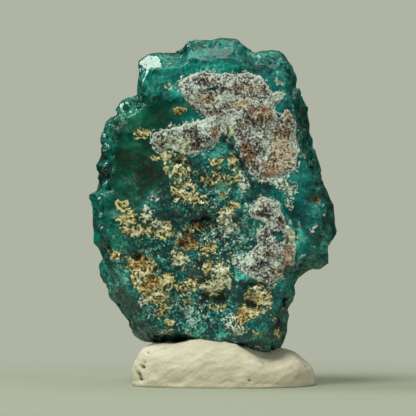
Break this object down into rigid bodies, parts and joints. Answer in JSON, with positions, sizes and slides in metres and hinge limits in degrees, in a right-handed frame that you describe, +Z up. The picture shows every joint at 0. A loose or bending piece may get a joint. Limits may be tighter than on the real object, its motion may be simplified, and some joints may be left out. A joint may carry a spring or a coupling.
{
  "type": "dioptase specimen",
  "caption": "Plate of intergrown green dioptase crystals with scabs of pale host rock on its broken face, standing upright in a pressed lump of putty that rests flat.",
  "frame": {"origin": "middle of the putty's flat base, on the surface it rests on", "axes": "+Z up along the plate's height, -Y out of the broken face that carries the scabs, +X to the right as that face is seen"},
  "size_m": [0.0325, 0.017, 0.0451],
  "materials": {
    "dioptase": "vitreous deep green crystal, translucent at thin edges, with ochre and white crusts",
    "host_rock": "dull sugary grey-white rock with grey-violet and red-brown grains",
    "putty": "dull cream mounting putty with pull marks and small pits"
  },
  "bodies": {
    "root": {"dioptase_crystals": "dioptase", "matrix_scab_upper": "host_rock", "matrix_scab_lower": "host_rock", "putty_base": "putty"}
  },
  "joints": []
}
